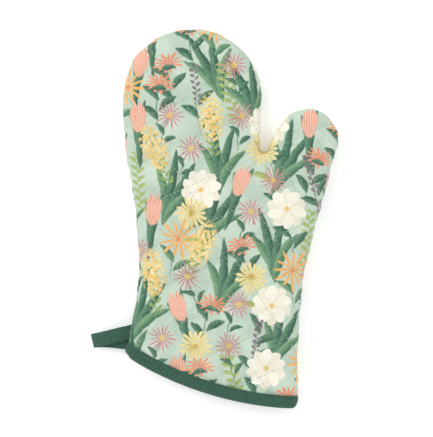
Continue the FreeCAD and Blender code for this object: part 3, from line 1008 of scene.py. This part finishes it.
# %% A leafy stem: leaves in turn on both sides
def leafy_stem():
    tree, _ = recipe("leafy stem", ("Count",), ("Dark", "Light"))
    for way in ("Leaf along", "Leaf across"):
        tree.interface.new_socket(way, in_out="INPUT", socket_type="NodeSocketVector")
    given = next(n for n in tree.nodes if n.type == "GROUP_INPUT").outputs
    x, y = given["X"], given["Y"]
    other = add(tree, MATH, y, 0.0, settings={"operation": "GREATER_THAN"}).outputs[0]
    along = add(tree, MATH, other, 0.5, x, settings=TIMES_PLUS).outputs[0]
    part = add(tree, MATH, along, settings={"operation": "FRACT"}).outputs[0]
    gap = add(tree, MATH, y, settings=SIZE_OF).outputs[0]
    spot = add(tree, "ShaderNodeCombineXYZ", part, gap, 1.0).outputs[0]
    u = add(tree, VECTOR_MATH, spot, given["Leaf along"], settings=DOT).outputs[1]
    v = add(tree, VECTOR_MATH, spot, given["Leaf across"], settings=DOT).outputs[1]
    square = add(tree, MATH, u, u, settings=TIMES).outputs[0]
    swell = add(tree, MATH, 1.0, square, settings=MINUS).outputs[0]
    off = add(tree, MATH, v, settings=SIZE_OF).outputs[0]
    in_leaf = add(tree, MATH, swell, off, settings=MINUS).outputs[0]
    in_stem = add(tree, MATH, 0.055, gap, settings=MINUS).outputs[0]
    wide = add(tree, MATH, in_stem, 6.0, settings=TIMES).outputs[0]
    either = add(tree, MATH, in_leaf, wide, settings={"operation": "MAXIMUM"}).outputs[0]
    left = add(tree, MATH, given["Count"], x, settings=MINUS).outputs[0]
    short = add(tree, MATH, left, x, settings={"operation": "MINIMUM"}).outputs[0]
    inside = add(tree, MATH, either, short, settings={"operation": "MINIMUM"}).outputs[0]
    mask = add(tree, MATH, inside, given["Sharp"], settings=TIMES).outputs[0]
    tone = add(tree, MATH, v, 0.45, given["Streak"], settings=TIMES_PLUS).outputs[0]
    colour = add(tree, COLOUR_MIX, settings=COLOURS)
    add_links(tree, colour, tone, given["Dark"], given["Light"])
    add(tree, "NodeGroupOutput", colour.outputs[2], mask)
    return tree


# %% An open flower: petals by angle, eye by distance
def open_flower():
    tree, given = recipe("open flower", ("Petals", "Round", "Eye"), ("Inner", "Outer", "Centre"))
    x, y = given["X"], given["Y"]
    angle = add(tree, MATH, y, x, settings={"operation": "ARCTAN2"}).outputs[0]
    spot = add(tree, "ShaderNodeCombineXYZ", x, y).outputs[0]
    reach = add(tree, VECTOR_MATH, spot, settings=LENGTH).outputs[1]
    slow = add(tree, MATH, angle, 5.0, settings=TIMES).outputs[0]
    uneven = add(tree, MATH, slow, settings={"operation": "SINE"}).outputs[0]
    stretch = add(tree, MATH, uneven, 0.1, 1.0, settings=TIMES_PLUS).outputs[0]
    far = add(tree, MATH, reach, stretch, settings=TIMES).outputs[0]
    turns = add(tree, MATH, angle, given["Petals"], settings=TIMES).outputs[0]
    wave = add(tree, MATH, turns, settings={"operation": "COSINE"}).outputs[0]
    narrowing = add(tree, MATH, far, given["Round"], settings=POWER).outputs[0]
    needed = add(tree, MATH, narrowing, 2.0, -1.0, settings=TIMES_PLUS).outputs[0]
    inside = add(tree, MATH, wave, needed, settings=MINUS).outputs[0]
    mask = add(tree, MATH, inside, given["Sharp"], settings=TIMES).outputs[0]
    tone = add(tree, MATH, reach, 0.8, given["Streak"], settings=TIMES_PLUS).outputs[0]
    petals = add(tree, COLOUR_MIX, settings=COLOURS)
    add_links(tree, petals, tone, given["Inner"], given["Outer"])
    near = add(tree, MATH, given["Eye"], reach, settings=MINUS).outputs[0]
    eye = add(tree, MATH, near, 12.0, settings=TIMES).outputs[0]
    colour = add(tree, COLOUR_MIX, settings=COLOURS)
    add_links(tree, colour, eye, petals.outputs[2], given["Centre"])
    add(tree, "NodeGroupOutput", colour.outputs[2], mask)
    return tree


# %% A tulip: an egg with a jagged rim and long streaks
def tulip_cup():
    tree, given = recipe("tulip", (), ("Dark", "Light"))
    x, y = given["X"], given["Y"]
    spot = add(tree, "ShaderNodeCombineXYZ", x, y).outputs[0]
    reach = add(tree, VECTOR_MATH, spot, settings=LENGTH).outputs[1]
    inside = add(tree, MATH, 1.0, reach, settings=MINUS).outputs[0]
    jag = add(tree, MATH, x, 0.34, settings={"operation": "PINGPONG"}).outputs[0]
    rim = add(tree, MATH, jag, 1.3, 0.45, settings=TIMES_PLUS).outputs[0]
    under_rim = add(tree, MATH, rim, y, settings=MINUS).outputs[0]
    both = add(tree, MATH, inside, under_rim, settings={"operation": "MINIMUM"}).outputs[0]
    mask = add(tree, MATH, both, given["Sharp"], settings=TIMES).outputs[0]
    spread = add(tree, MATH, y, 0.45, 1.5, settings=TIMES_PLUS).outputs[0]
    across = add(tree, MATH, x, 30.0, settings=TIMES).outputs[0]
    fine = add(tree, MATH, across, spread, settings={"operation": "DIVIDE"}).outputs[0]
    stripe = add(tree, MATH, fine, settings={"operation": "SINE"}).outputs[0]
    tone = add(tree, MATH, stripe, 0.4, 0.55, settings=TIMES_PLUS).outputs[0]
    colour = add(tree, COLOUR_MIX, settings=COLOURS)
    add_links(tree, colour, tone, given["Dark"], given["Light"])
    add(tree, "NodeGroupOutput", colour.outputs[2], mask)
    return tree


# %% A spray of dots: many small florets in one soft shape
def dot_spray():
    tree, given = recipe("spray of dots", ("Cell", "Pick", "Size"), ("Dark", "Light"))
    x, y = given["X"], given["Y"]
    spot = add(tree, "ShaderNodeCombineXYZ", x, y).outputs[0]
    reach = add(tree, VECTOR_MATH, spot, settings=LENGTH).outputs[1]
    room = add(tree, MATH, reach, -0.25, given["Size"], settings=TIMES_PLUS).outputs[0]
    inside = add(tree, MATH, room, given["Cell"], settings=MINUS).outputs[0]
    dot = add(tree, MATH, inside, given["Sharp"], settings=TIMES).outputs[0]
    near = add(tree, MATH, 1.0, reach, settings=MINUS).outputs[0]
    soft = add(tree, MATH, near, 5.0, settings=TIMES).outputs[0]
    mask = add(tree, MATH, dot, soft, settings={"operation": "MINIMUM"}).outputs[0]
    colour = add(tree, COLOUR_MIX, settings=COLOURS)
    add_links(tree, colour, given["Pick"], given["Dark"], given["Light"])
    add(tree, "NodeGroupOutput", colour.outputs[2], mask)
    return tree


STROKE, STEM, FLOWER, TULIP, DOTS = brush_stroke(), leafy_stem(), open_flower(), tulip_cup(), dot_spray()
print("recipes:", [tree.name for tree in (STROKE, STEM, FLOWER, TULIP, DOTS)])

# %% [markdown]
# ## Placing the flowers
#
# A printed cloth repeats a small set of motifs, so this one does too. Ten kinds of plant stand in
# staggered rows, the leafy ones behind the flowers. A seeded draw deals the kinds like cards, so that
# they mix evenly, and moves and leans each plant a little. Placing them by hand would also do,
# but dealing them keeps the print a plain, general one, and it fills any outline. The paints are those
# of gouache on mint: three greens for leaves, peach, coral and mauve for petals, cream for white.

# %% Paints
PINE, SAGE, MOSS = ("3f6553", "648c71"), ("4f7a5f", "7fa37e"), ("78985a", "a9bb7c")
FERN = ("94ab62", "b9c585")
PEACH, CORAL, MAUVE = ("e39a80", "f0c6b0"), ("cf6446", "e99a76"), ("a9646b", "cb9496")
GOLD, STAR, CREAM = ("e3bd6c", "f1dba0"), ("e38f41", "efb76e"), ("e6dcbd", "f3f0e2")
EYE, BUTTER, VIOLET = "e5b955", ("d9b860", "eadb9f"), ("6b6a72", "a88f98")
SHADED_CREAM = ("d9d2b6", "e9e5d3")
SOFT_EDGE = 0.85
LEAF_AT = 0.42

laid = []


def lay(tree_group, at, turn, size, edge_softness, numbers, paints, more=None):
    """Put one motif on the list, to be linked later in this order."""
    laid.append((tree_group, at, turn, size, edge_softness, numbers, paints, more or {}))


# %% Strokes and stems
def stroke(x0, y0, x1, y1, width, bend, paints, point=0.7):
    """A stroke between two points. The width and the bend are in millimetres."""
    half = math.hypot(x1 - x0, y1 - y0) / 2
    middle = ((x0 + x1) / 2, (y0 + y1) / 2)
    turn = math.atan2(y1 - y0, x1 - x0)
    nx, ny = -math.sin(turn) * bend, math.cos(turn) * bend
    shape = {"Width": width / 2 / half, "Bend": bend / half, "Point": point}
    lay(STROKE, (middle[0] + nx, middle[1] + ny), turn, (half, half), half / SOFT_EDGE, shape,
        {"Dark": paints[0], "Light": paints[1]})


def leaves(x0, y0, x1, y1, count, length, width, lean, paints):
    """A stem with a number of leaf pairs. The length and width are parts of the spacing."""
    step = math.hypot(x1 - x0, y1 - y0) / count
    c, s = math.cos(math.radians(lean)), math.sin(math.radians(lean))
    long, wide = length / 2, width / 2
    lay(STEM, (x0, y0), math.atan2(y1 - y0, x1 - x0), (step, step), step * width / SOFT_EDGE,
        {"Count": count}, {"Dark": paints[0], "Light": paints[1]},
        {"Leaf along": (c / long, s / long, -LEAF_AT * (c + s) / long),
         "Leaf across": (-s / wide, c / wide, -LEAF_AT * (c - s) / wide)})


def onward(x, y, lean, far):
    """The place that far from x, y, where a lean of 0 goes straight to the fingertips."""
    return x + math.sin(math.radians(lean)) * far, y + math.cos(math.radians(lean)) * far


def stalk(x, y, lean, tall, sides, paints, leaf=20.0, width=7.0):
    """A stem that ends at x, y, and one leaf for each side named, from the foot up."""
    foot = onward(x, y, lean, -tall)
    stroke(*foot, x, y, 1.6, 2.0, paints, point=0.12)
    for number, side in enumerate(sides):
        root = onward(*foot, lean, tall * (0.15 + 0.22 * number))
        stroke(*root, *onward(*root, lean + 50 * side, leaf), width, 2.0 * side, paints, point=0.8)


# %% Flower heads
def flower(x, y, radius, petals, rounding, eye, paints, centre=EYE, turn=0.0, squash=1.0):
    shape = {"Petals": petals, "Round": rounding, "Eye": eye}
    lay(FLOWER, (x, y), math.radians(turn), (radius, radius * squash), radius * 0.22, shape,
        {"Inner": paints[0], "Outer": paints[1], "Centre": centre})


def dots(x, y, width, height, turn, size, paints):
    lay(DOTS, (x, y), math.radians(turn), (width / 2, height / 2), 7.0, {"Size": size},
        {"Dark": paints[0], "Light": paints[1]})


# %% Ten kinds of plant
def aster(x, y, lean):
    stalk(x, y, lean, 30, (1, -1), PINE, 14, 5.2)
    flower(x, y, 12.5, 15, 1.25, 0.24, MAUVE, turn=lean)


def side_daisy(x, y, lean):
    """A daisy from the side: a flattened flower with its green cup in front."""
    stalk(x, y, lean, 38, (-1, 1, -1), PINE)
    flower(x, y, 13.5, 13, 2.6, 0.0, CORAL, turn=-lean, squash=0.66)
    cup = onward(x, y, lean, -4.6)
    stroke(*onward(*cup, lean - 90, 6.7), *onward(*cup, lean + 90, 6.7), 5.6, 1.2, PINE)


def tulip(x, y, lean):
    for spread, tall in ((-9, 52), (7, 60)):
        foot = onward(x, y, lean, -46)
        stroke(*foot, *onward(*foot, lean + spread, tall), 6.4, spread / 3, PINE, point=0.45)
    stalk(x, y, lean, 46, (), SAGE)
    lay(TULIP, (x, y), math.radians(-lean), (7.3, 15.5), 12.0, {}, {"Dark": PEACH[0], "Light": PEACH[1]})


def star_daisy(x, y, lean):
    stalk(x, y, lean, 34, (1, -1), SAGE)
    flower(x, y, 18, 12, 1.1, 0.16, STAR, centre="df7a40", turn=lean)


def blossom(x, y, lean):
    stalk(x, y, lean, 42, (1, -1), PINE)
    flower(x, y, 17, 5, 6.0, 0.0, SHADED_CREAM, turn=lean + 36)
    flower(x, y, 17, 5, 5.0, 0.17, CREAM, turn=lean)


def golden_spray(x, y, lean):
    leaves(*onward(x, y, lean, -34), *onward(x, y, lean, 12), 7, 1.4, 0.5, 50, MOSS)
    dots(x, y, 24, 46, -lean, 0.72, GOLD)


def long_leaves(x, y, lean):
    """Blades that fan out from one foot."""
    foot = onward(x, y, lean, -36)
    for spread, tall, paints in ((-26, 50, SAGE), (-10, 68, PINE), (8, 62, PINE), (27, 48, SAGE)):
        stroke(*foot, *onward(*foot, lean + spread, tall), 8.5, spread / 5, paints, point=0.6)


def fern(x, y, lean):
    leaves(*onward(x, y, lean, -28), *onward(x, y, lean, 26), 8, 1.6, 0.58, 58, FERN)


def violet_spike(x, y, lean):
    stalk(x, y, lean, 44, (1, -1, 1), PINE)
    leaves(*onward(x, y, lean, -16), *onward(x, y, lean, 20), 7, 0.95, 0.6, 42, VIOLET)


def butter_daisy(x, y, lean):
    stalk(x, y, lean, 36, (-1,), FERN)
    flower(x, y, 14, 16, 6.5, 0.22, BUTTER, centre="cfa94e", turn=lean)


# %% Deal the plants
LEAFY = (long_leaves, fern)
KINDS = (aster, aster, aster, side_daisy, side_daisy, tulip, tulip, star_daisy, blossom, golden_spray,
         violet_spike, butter_daisy, fern, long_leaves, long_leaves, long_leaves)
COLUMN, ROW, STRAY, LEAN = 29.0, 27.0, 6.0, 24.0
CLOTH_REACH = 15.0
draw = random.Random(23)
deck, planted = [], []
cloth_low, cloth_high = edge[:, :2].min(0), edge[:, :2].max(0)
rows_of_plants = int((cloth_high[1] - cloth_low[1]) / ROW) + 2
plants_in_row = int((cloth_high[0] - cloth_low[0]) / COLUMN) + 2
for row in range(rows_of_plants):
    for column in range(plants_in_row):
        if not deck:
            deck = draw.sample(KINDS, len(KINDS))
        plant = deck.pop()
        x = cloth_low[0] + (column + 0.5 * (row % 2)) * COLUMN + draw.uniform(-STRAY, STRAY)
        y = cloth_high[1] - row * ROW + draw.uniform(-STRAY, STRAY)
        lean = draw.uniform(-LEAN, LEAN)
        if covered((x, y)) or distance_to(edge, np.array([(x, y)]))[0] < CLOTH_REACH:
            planted.append((plant, x, y, lean))
for plant, x, y, lean in sorted(planted, key=lambda one: one[0] not in LEAFY):
    plant(x, y, lean)
print(len(planted), "plants,", len(laid), "motifs")

# %% [markdown]
# ## From motifs to a cloth
#
# Printed cotton is matt: a rough surface with a weak sheen from loose fibres. Its threads lie about
# 0.4 mm apart, too fine to show from this far, so the weave is drawn at 1.3 mm. Paint on cloth is
# never quite even, so a slow noise shifts every edge by under a millimetre, and a fine one streaks
# the colours.

# %% Printed cotton
WEAVE_STEP = 1.3
EDGE_WANDER = 1.5
DOT_STEP = 3.1


def weave_bump(tree, place, step, depth):
    """Over and under threads, as two crossed waves."""
    x, y, _ = add(tree, "ShaderNodeSeparateXYZ", place).outputs
    warp = add(tree, MATH, x, 2 * math.pi / step, settings=TIMES).outputs[0]
    weft = add(tree, MATH, y, 2 * math.pi / step, settings=TIMES).outputs[0]
    over = add(tree, MATH, warp, settings={"operation": "SINE"}).outputs[0]
    across = add(tree, MATH, weft, settings={"operation": "SINE"}).outputs[0]
    threads_up = add(tree, MATH, over, across, settings=TIMES).outputs[0]
    slubs = add(tree, "ShaderNodeTexNoise", place, Scale=0.9, Detail=2.0).outputs[0]
    height = add(tree, MATH, slubs, 1.5, threads_up, settings=TIMES_PLUS).outputs[0]
    bump = add(tree, "ShaderNodeBump", depth, 0.0006, settings=None)
    tree.links.new(height, bump.inputs["Height"])
    return bump.outputs[0], slubs


def cloth_finish(name, roughness, sheen):
    finish = bpy.data.materials.new(name)
    finish.use_nodes = True
    tree = finish.node_tree
    tree.nodes.clear()
    shader = add(tree, "ShaderNodeBsdfPrincipled", Roughness=roughness, IOR=1.5)
    shader.inputs["Sheen Weight"].default_value = sheen
    shader.inputs["Sheen Roughness"].default_value = 0.5
    shader.inputs["Specular IOR Level"].default_value = 0.25
    add(tree, "ShaderNodeOutputMaterial", shader.outputs[0])
    stored = add(tree, "ShaderNodeAttribute", settings={"attribute_name": "cloth_mm"}).outputs["Vector"]
    return finish, tree, shader, stored


def printed_cotton():
    finish, tree, shader, stored = cloth_finish("printed cotton", 0.88, 0.08)
    flat = add(tree, VECTOR_MATH, stored, (1.0, 1.0, 0.0), settings=TIMES).outputs[0]
    normal, _ = weave_bump(tree, flat, WEAVE_STEP, 0.16)
    tree.links.new(normal, shader.inputs["Normal"])
    wander = add(tree, "ShaderNodeTexNoise", flat, Scale=0.13, Detail=2.0).outputs["Color"]
    centred = add(tree, VECTOR_MATH, wander, (0.5, 0.5, 0.5), settings=MINUS).outputs[0]
    both_ways = (2 * EDGE_WANDER, 2 * EDGE_WANDER, 0.0)
    shift = add(tree, VECTOR_MATH, centred, both_ways, settings=TIMES).outputs[0]
    wandered = add(tree, VECTOR_MATH, flat, shift, settings=PLUS).outputs[0]
    place = add(tree, VECTOR_MATH, wandered, (0.0, 0.0, 1.0), settings=PLUS).outputs[0]
    brushed = add(tree, "ShaderNodeTexNoise", flat, Scale=0.55, Detail=3.0, Roughness=0.6).outputs[0]
    streak = add(tree, "ShaderNodeMapRange", brushed, 0.35, 0.65, 0.0, 0.9).outputs[0]
    patches = add(tree, "ShaderNodeTexNoise", flat, Scale=0.045, Detail=3.0).outputs[0]
    wash = add(tree, "ShaderNodeMapRange", patches, 0.35, 0.65).outputs[0]
    ground = add(tree, COLOUR_MIX, settings=COLOURS)
    tree.links.new(wash, ground.inputs[0])
    ground.inputs[6].default_value = linear("b6c9b8")
    ground.inputs[7].default_value = linear("c9d9c8")
    colour = ground.outputs[2]
    cells = add(tree, "ShaderNodeTexVoronoi", flat, settings={"voronoi_dimensions": "2D"}, Scale=1 / DOT_STEP)
    pick = add(tree, "ShaderNodeSeparateColor", cells.outputs["Color"]).outputs[0]
    for group, at, turn, size, sharp, numbers, paints, more in laid:
        c, s = math.cos(turn), math.sin(turn)
        along = (c / size[0], s / size[0], -(c * at[0] + s * at[1]) / size[0])
        across = (-s / size[1], c / size[1], (s * at[0] - c * at[1]) / size[1])
        motif_x = add(tree, VECTOR_MATH, place, along, settings=DOT).outputs[1]
        motif_y = add(tree, VECTOR_MATH, place, across, settings=DOT).outputs[1]
        motif = add(tree, "ShaderNodeGroup", settings={"node_tree": group})
        shared = {"X": motif_x, "Y": motif_y, "Streak": streak}
        if group is DOTS:
            shared.update({"Cell": cells.outputs["Distance"], "Pick": pick})
        for key, value in shared.items():
            tree.links.new(value, motif.inputs[key])
        motif.inputs["Sharp"].default_value = sharp
        for key, value in {**numbers, **more}.items():
            motif.inputs[key].default_value = value
        for key, paint in paints.items():
            motif.inputs[key].default_value = linear(paint)
        over = add(tree, COLOUR_MIX, settings=COLOURS)
        tree.links.new(motif.outputs["Mask"], over.inputs[0])
        tree.links.new(colour, over.inputs[6])
        tree.links.new(motif.outputs["Colour"], over.inputs[7])
        colour = over.outputs[2]
    tree.links.new(colour, shader.inputs["Base Color"])
    return finish


PRINTED_COTTON = printed_cotton()
print("printed cotton:", len(PRINTED_COTTON.node_tree.nodes), "nodes outside the recipes")

# %% [markdown]
# ## Tape, lining and thread
#
# The binding is a cotton twill tape: a diagonal rib, dyed dark green in the piece, so its dye is even
# but for a slow mottle. The ribs are 0.6 mm apart on the real tape and are drawn at 1.5 mm, as bump,
# and the rib height also lightens the colour on the rib crests: a painted highlight on the ribs. The
# lining is undyed plain cotton. Sewing thread is spun polyester, smoother than the cloth, with a slight
# shine.

# %% Twill tape and lining
TWILL_STEP = 1.5


def plain_cloth(name, dark, light, pattern, roughness, sheen, depth):
    """A one-coloured cloth: two close tones by its pattern and a slow mottle, and the pattern as bump. On the
    twill the pattern tone is a painted highlight on the rib crests; on the plain weave it is slub tone.
    """
    finish, tree, shader, stored = cloth_finish(name, roughness, sheen)
    mottle = add(tree, "ShaderNodeTexNoise", stored, Scale=0.35, Detail=4.0, Roughness=0.65).outputs[0]
    if pattern == "twill":
        height = add(tree, "ShaderNodeTexWave", stored, 1 / TWILL_STEP / 3.2, 0.5, 2.0,
                     settings={"bands_direction": "DIAGONAL"}).outputs["Fac"]
        bump = add(tree, "ShaderNodeBump", depth, 0.0006)
        tree.links.new(height, bump.inputs["Height"])
        normal = bump.outputs[0]
    else:
        normal, height = weave_bump(tree, stored, WEAVE_STEP, depth)
    # On the twill, the rib height lightens the colour on the rib crests: a painted highlight on the ribs. The
    # mottle and the plain weave's slubs are the cloth's own uneven tone.
    share = add(tree, MATH, height, 0.4, mottle, settings=TIMES_PLUS).outputs[0]
    tone = add(tree, "ShaderNodeMapRange", share, 0.4, 1.0).outputs[0]
    colour = add(tree, COLOUR_MIX, settings=COLOURS)
    tree.links.new(tone, colour.inputs[0])
    colour.inputs[6].default_value, colour.inputs[7].default_value = linear(dark), linear(light)
    tree.links.new(colour.outputs[2], shader.inputs["Base Color"])
    tree.links.new(normal, shader.inputs["Normal"])
    return finish


BINDING_TWILL = plain_cloth("green twill tape", "2c4c3e", "3f6654", "twill", 0.82, 0.12, 0.35)
LINING_COTTON = plain_cloth("undyed cotton", "d8d0bb", "e9e3d3", "plain", 0.9, 0.05, 0.15)


# %% Spun thread
def spun_thread(name, dark, light):
    """Twisted plies, about four turns to a stitch, as a fine noise along the thread."""
    finish = bpy.data.materials.new(name)
    finish.use_nodes = True
    tree = finish.node_tree
    tree.nodes.clear()
    shader = add(tree, "ShaderNodeBsdfPrincipled", Roughness=0.6, IOR=1.5)
    add(tree, "ShaderNodeOutputMaterial", shader.outputs[0])
    place = add(tree, "ShaderNodeTexCoord").outputs["Object"]
    plies = add(tree, "ShaderNodeTexNoise", place, Scale=1600.0, Detail=1.0).outputs[0]
    colour = add(tree, COLOUR_MIX, settings=COLOURS)
    tree.links.new(plies, colour.inputs[0])
    colour.inputs[6].default_value, colour.inputs[7].default_value = linear(dark), linear(light)
    tree.links.new(colour.outputs[2], shader.inputs["Base Color"])
    return finish


QUILTING_THREAD = spun_thread("pale green thread", "9fb3a2", "bccabb")
TAPE_THREAD = spun_thread("dark green thread", "2b4a3d", "41685a")

# %% Dress the pieces
dressed = {piece: PRINTED_COTTON for piece in cover.values()}
dressed.update({piece: LINING_COTTON for piece in lining.values()})
dressed.update({piece: QUILTING_THREAD for piece in threads})
dressed.update({piece: BINDING_TWILL for piece in (binding, loop_piece)})
dressed.update({piece: TAPE_THREAD for piece in (binding_thread, loop_thread)})
for piece, finish in dressed.items():
    piece.data.materials.clear()
    piece.data.materials.append(finish)
print(len(dressed), "pieces dressed")

# %% [markdown]
# ## Table, light and camera
#
# The mitt lies on a white table under a large soft light, as flat goods are shown for sale. The
# camera looks straight down through a long lens, so the sides hardly show.

# %% Table
FLOOR = 3.0
FLOOR_BELOW = 0.0002
corners = np.array([(-1, -1, 0), (1, -1, 0), (1, 1, 0), (-1, 1, 0)]) * FLOOR / 2 / MM
floor = make_piece("floor", corners, [(0, 1, 2, 3)])
floor.location.z = -FLOOR_BELOW
floor_finish = bpy.data.materials.new("white table")
floor_finish.use_nodes = True
table_shader = floor_finish.node_tree.nodes["Principled BSDF"]
table_shader.inputs["Base Color"].default_value = linear("fdfdfd")
table_shader.inputs["Roughness"].default_value = 0.9
table_shader.inputs["Emission Color"].default_value = (1.0, 1.0, 1.0, 1.0)
table_shader.inputs["Emission Strength"].default_value = 0.22
floor.data.materials.append(floor_finish)

# %% Light and camera
world = bpy.data.worlds.new("studio")
bpy.context.scene.world = world
world.use_nodes = True
world.node_tree.nodes["Background"].inputs["Color"].default_value = (1, 1, 1, 1)
world.node_tree.nodes["Background"].inputs["Strength"].default_value = 0.84


def soft_light(name, place, size, power):
    lamp = bpy.data.lights.new(name, "AREA")
    lamp.shape = "SQUARE"
    lamp.size, lamp.energy = size, power
    lamp_object = bpy.data.objects.new(name, lamp)
    lamp_object.location = place
    lamp_object.rotation_euler = (-Vector(place)).to_track_quat("-Z", "Y").to_euler()
    bpy.context.scene.collection.objects.link(lamp_object)


soft_light("window", (-0.9, 0.7, 1.5), 0.8, 10.0)
soft_light("fill", (0.8, -0.5, 1.6), 1.4, 3.0)

LENS, SENSOR, FIELD = 120.0, 36.0, 0.3776
AIM = (0.0022, -0.0004)
distance = FIELD * LENS / SENSOR
lens = bpy.data.cameras.new("camera")
lens.lens, lens.sensor_width, lens.sensor_fit = LENS, SENSOR, "VERTICAL"
lens.sensor_height = SENSOR
camera = bpy.data.objects.new("camera", lens)
camera.location = (*AIM, TOP * MM + distance)
bpy.context.scene.collection.objects.link(camera)
bpy.context.scene.camera = camera
bpy.context.scene.view_settings.view_transform = "Standard"
